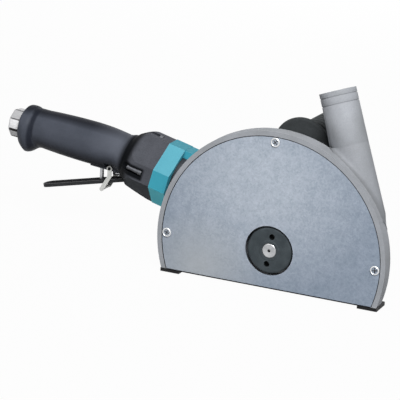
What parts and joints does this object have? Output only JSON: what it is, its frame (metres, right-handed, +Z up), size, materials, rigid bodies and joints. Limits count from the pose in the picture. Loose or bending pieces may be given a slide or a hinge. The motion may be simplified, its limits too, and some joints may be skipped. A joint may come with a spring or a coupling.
{
  "type": "pneumatic cut off tool",
  "caption": "Lever-started air cut off tool: D-shaped dust hood on wear shoes with a slanted dust spout, angle head, vane motor, rubber grip and side handle.",
  "frame": {"origin": "on the spindle axis, in the plane of the hood's front rim", "axes": "+X along the hood's base, away from the grip; +Y along the spindle, away from the front plate; +Z up from the base"},
  "size_m": [0.4714, 0.1606, 0.22],
  "materials": {
    "cast_grey": "satin cast",
    "plate_steel": "zinc plated, mottled",
    "screw_zinc": "zinc plated",
    "shoe_black": "matte, worn",
    "screw_dark": "blackened",
    "clamp_steel": "turned",
    "handle_plastic": "matte",
    "spindle_steel": "ground",
    "nut_black": "blackened",
    "gear_steel": "hardened",
    "bearing_steel": "ground",
    "vane_resin": "matte",
    "head_alloy": "cast",
    "motor_grey": "satin",
    "liner_iron": "ground",
    "end_plate_bronze": "turned",
    "teal_paint": "gloss",
    "housing_grey": "satin",
    "grip_rubber": "matte",
    "inlet_steel": "turned",
    "valve_brass": "turned",
    "seal_rubber": "matte",
    "spring_steel": "drawn",
    "lever_black": "satin",
    "latch_zinc": "zinc plated"
  },
  "bodies": {
    "tool": {"gear_head": "head_alloy", "gear_head_cap": "head_alloy", "cap_screws": "screw_dark", "spindle_front_bearing": "bearing_steel", "spindle_rear_bearing": "bearing_steel", "spindle_seal": "seal_rubber", "pinion_bearing": "bearing_steel", "head_screws": "screw_dark", "motor_case": "motor_grey", "front_end_plate": "end_plate_bronze", "rear_end_plate": "end_plate_bronze", "rotor_front_bearing": "bearing_steel", "rotor_rear_bearing": "bearing_steel", "cylinder_liner": "liner_iron", "head_collar": "teal_paint", "rear_housing": "housing_grey", "housing_bolts": "screw_dark", "grip_sleeve": "grip_rubber", "air_inlet": "inlet_steel", "valve_bushing": "valve_brass", "valve_seat": "seal_rubber", "valve_spring": "spring_steel", "lever_pin": "screw_zinc", "latch_pin": "screw_dark"},
    "hood": {"hood_shell": "cast_grey", "dust_spout": "cast_grey", "hood_plate": "plate_steel", "plate_screws": "screw_zinc", "left_shoe": "shoe_black", "right_shoe": "shoe_black", "shoe_screws": "screw_dark", "clamp_collar": "clamp_steel", "clamp_flange_screws": "screw_dark", "clamp_screw": "screw_dark", "side_handle_grip": "handle_plastic", "side_handle_stud": "screw_zinc"},
    "spindle_line": {"spindle": "spindle_steel", "inner_flange": "nut_black", "flange_nut": "nut_black", "bevel_wheel": "gear_steel"},
    "rotor_line": {"rotor": "gear_steel", "rotor_vanes": "vane_resin", "bevel_pinion": "gear_steel"},
    "lever": {"throttle_lever": "lever_black"},
    "valve": {"valve_pin": "spindle_steel"},
    "latch": {"safety_latch": "latch_zinc"}
  },
  "joints": [
    {"name": "hood_swivel", "type": "hinge", "parent": "tool", "child": "hood", "pos_m": [0, 0.0335, 0], "axis": [0, 1, 0], "range_deg": [-30, 30]},
    {"name": "spindle_spin", "type": "hinge", "parent": "tool", "child": "spindle_line", "pos_m": [0, 0.05, 0], "axis": [0, 1, 0], "continuous": true},
    {"name": "rotor_spin", "type": "hinge", "parent": "tool", "child": "rotor_line", "pos_m": [0, 0.08, 0], "axis": [-0.9677, 0, 0.2521], "continuous": true},
    {"name": "lever_press", "type": "hinge", "parent": "tool", "child": "lever", "pos_m": [-0.19766, 0.08, 0.02865], "axis": [0, 1, 0], "range_deg": [0, 13], "stiffness_Nm_per_rad": 2, "springref_deg": -14.32},
    {"name": "valve_slide", "type": "slide", "parent": "tool", "child": "valve", "axis": [0, 0, 1], "range_m": [0, 0.0086], "deforming": ["valve_spring"]},
    {"name": "latch_swing", "type": "hinge", "parent": "tool", "child": "latch", "pos_m": [-0.21919, 0.08, 0.03593], "axis": [0, -1, 0], "range_deg": [0, 25], "stiffness_Nm_per_rad": 0.02, "springref_deg": -17.19}
  ],
  "couplings": [
    {"joint": "rotor_spin", "follows": "spindle_spin", "ratio": 2.4},
    {"joint": "valve_slide", "follows": "lever_press", "m_per_rad": 0.0368}
  ]
}
